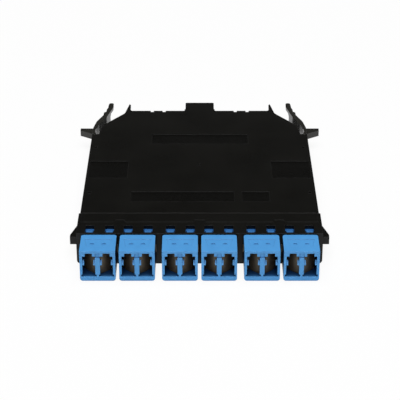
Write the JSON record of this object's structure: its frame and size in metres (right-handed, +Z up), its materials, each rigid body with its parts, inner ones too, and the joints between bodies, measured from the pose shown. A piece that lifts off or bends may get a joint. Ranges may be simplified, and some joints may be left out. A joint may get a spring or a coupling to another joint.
{
  "type": "fibre cassette",
  "caption": "Flat black fibre cassette with shuttered blue LC duplex ports in front, an MPO port at the rear, a clip-fit cover and squeeze levers that release it from its tray.",
  "frame": {"origin": "on the underside, below the middle of the whole assembly's length and width", "axes": "+X across the ports, +Y from the LC ports to the rear MPO port, +Z up out of the cover"},
  "size_m": [0.0996, 0.1282, 0.0124],
  "materials": {
    "black_moulding": "fine matt black",
    "blue_moulding": "satin blue",
    "shutter_steel": "dark spring steel",
    "clip_steel": "bright spring steel",
    "ceramic": "polished",
    "plug_blue": "satin",
    "plug_green": "satin",
    "fibre_jacket": "satin",
    "white_moulding": "satin"
  },
  "bodies": {
    "cassette": {"adapter_clip_1": "clip_steel", "adapter_clip_2": "clip_steel", "adapter_clip_3": "clip_steel", "adapter_clip_4": "clip_steel", "adapter_clip_5": "clip_steel", "adapter_clip_6": "clip_steel", "alignment_sleeves": "ceramic", "base_housing": "black_moulding", "fanout_block": "white_moulding", "fibre_fan": "fibre_jacket", "fibre_ribbon": "fibre_jacket", "front_bezel": "black_moulding", "lc_adapter_1": "blue_moulding", "lc_adapter_2": "blue_moulding", "lc_adapter_3": "blue_moulding", "lc_adapter_4": "blue_moulding", "lc_adapter_5": "blue_moulding", "lc_adapter_6": "blue_moulding", "lc_plug_1a": "plug_blue", "lc_plug_1b": "plug_blue", "lc_plug_2a": "plug_blue", "lc_plug_2b": "plug_blue", "lc_plug_3a": "plug_blue", "lc_plug_3b": "plug_blue", "lc_plug_4a": "plug_blue", "lc_plug_4b": "plug_blue", "lc_plug_5a": "plug_blue", "lc_plug_5b": "plug_blue", "lc_plug_6a": "plug_blue", "lc_plug_6b": "plug_blue", "mpo_adapter": "black_moulding", "mpo_plug": "plug_green", "top_cover": "black_moulding"},
    "shutter_1a": {"shutter_1a": "shutter_steel"},
    "shutter_1b": {"shutter_1b": "shutter_steel"},
    "shutter_2a": {"shutter_2a": "shutter_steel"},
    "shutter_2b": {"shutter_2b": "shutter_steel"},
    "shutter_3a": {"shutter_3a": "shutter_steel"},
    "shutter_3b": {"shutter_3b": "shutter_steel"},
    "shutter_4a": {"shutter_4a": "shutter_steel"},
    "shutter_4b": {"shutter_4b": "shutter_steel"},
    "shutter_5a": {"shutter_5a": "shutter_steel"},
    "shutter_5b": {"shutter_5b": "shutter_steel"},
    "shutter_6a": {"shutter_6a": "shutter_steel"},
    "shutter_6b": {"shutter_6b": "shutter_steel"},
    "lever_left": {"lever_left": "black_moulding"},
    "lever_right": {"lever_right": "black_moulding"}
  },
  "joints": [
    {"name": "shutter_1a_swing", "type": "hinge", "parent": "cassette", "child": "shutter_1a", "pos_m": [-0.03671, -0.0624, 0.0064], "axis": [0, 0, -1], "range_deg": [0, 47], "stiffness_Nm_per_rad": 0.0001, "springref_deg": -17.19},
    {"name": "shutter_1b_swing", "type": "hinge", "parent": "cassette", "child": "shutter_1b", "pos_m": [-0.03535, -0.0624, 0.0064], "axis": [0, 0, 1], "range_deg": [0, 47], "stiffness_Nm_per_rad": 0.0001, "springref_deg": -17.19},
    {"name": "shutter_2a_swing", "type": "hinge", "parent": "cassette", "child": "shutter_2a", "pos_m": [-0.02281, -0.0624, 0.0064], "axis": [0, 0, -1], "range_deg": [0, 47], "stiffness_Nm_per_rad": 0.0001, "springref_deg": -17.19},
    {"name": "shutter_2b_swing", "type": "hinge", "parent": "cassette", "child": "shutter_2b", "pos_m": [-0.02145, -0.0624, 0.0064], "axis": [0, 0, 1], "range_deg": [0, 47], "stiffness_Nm_per_rad": 0.0001, "springref_deg": -17.19},
    {"name": "shutter_3a_swing", "type": "hinge", "parent": "cassette", "child": "shutter_3a", "pos_m": [-0.00763, -0.0624, 0.0064], "axis": [0, 0, -1], "range_deg": [0, 47], "stiffness_Nm_per_rad": 0.0001, "springref_deg": -17.19},
    {"name": "shutter_3b_swing", "type": "hinge", "parent": "cassette", "child": "shutter_3b", "pos_m": [-0.00627, -0.0624, 0.0064], "axis": [0, 0, 1], "range_deg": [0, 47], "stiffness_Nm_per_rad": 0.0001, "springref_deg": -17.19},
    {"name": "shutter_4a_swing", "type": "hinge", "parent": "cassette", "child": "shutter_4a", "pos_m": [0.00627, -0.0624, 0.0064], "axis": [0, 0, -1], "range_deg": [0, 47], "stiffness_Nm_per_rad": 0.0001, "springref_deg": -17.19},
    {"name": "shutter_4b_swing", "type": "hinge", "parent": "cassette", "child": "shutter_4b", "pos_m": [0.00763, -0.0624, 0.0064], "axis": [0, 0, 1], "range_deg": [0, 47], "stiffness_Nm_per_rad": 0.0001, "springref_deg": -17.19},
    {"name": "shutter_5a_swing", "type": "hinge", "parent": "cassette", "child": "shutter_5a", "pos_m": [0.02145, -0.0624, 0.0064], "axis": [0, 0, -1], "range_deg": [0, 47], "stiffness_Nm_per_rad": 0.0001, "springref_deg": -17.19},
    {"name": "shutter_5b_swing", "type": "hinge", "parent": "cassette", "child": "shutter_5b", "pos_m": [0.02281, -0.0624, 0.0064], "axis": [0, 0, 1], "range_deg": [0, 47], "stiffness_Nm_per_rad": 0.0001, "springref_deg": -17.19},
    {"name": "shutter_6a_swing", "type": "hinge", "parent": "cassette", "child": "shutter_6a", "pos_m": [0.03535, -0.0624, 0.0064], "axis": [0, 0, -1], "range_deg": [0, 47], "stiffness_Nm_per_rad": 0.0001, "springref_deg": -17.19},
    {"name": "shutter_6b_swing", "type": "hinge", "parent": "cassette", "child": "shutter_6b", "pos_m": [0.03671, -0.0624, 0.0064], "axis": [0, 0, 1], "range_deg": [0, 47], "stiffness_Nm_per_rad": 0.0001, "springref_deg": -17.19},
    {"name": "lever_left_squeeze", "type": "hinge", "parent": "cassette", "child": "lever_left", "pos_m": [-0.04285, 0.03245, 0.0062], "axis": [0, 0, -1], "range_deg": [0, 8], "stiffness_Nm_per_rad": 0.05},
    {"name": "lever_right_squeeze", "type": "hinge", "parent": "cassette", "child": "lever_right", "pos_m": [0.04285, 0.03245, 0.0062], "axis": [0, 0, 1], "range_deg": [0, 8], "stiffness_Nm_per_rad": 0.05}
  ]
}
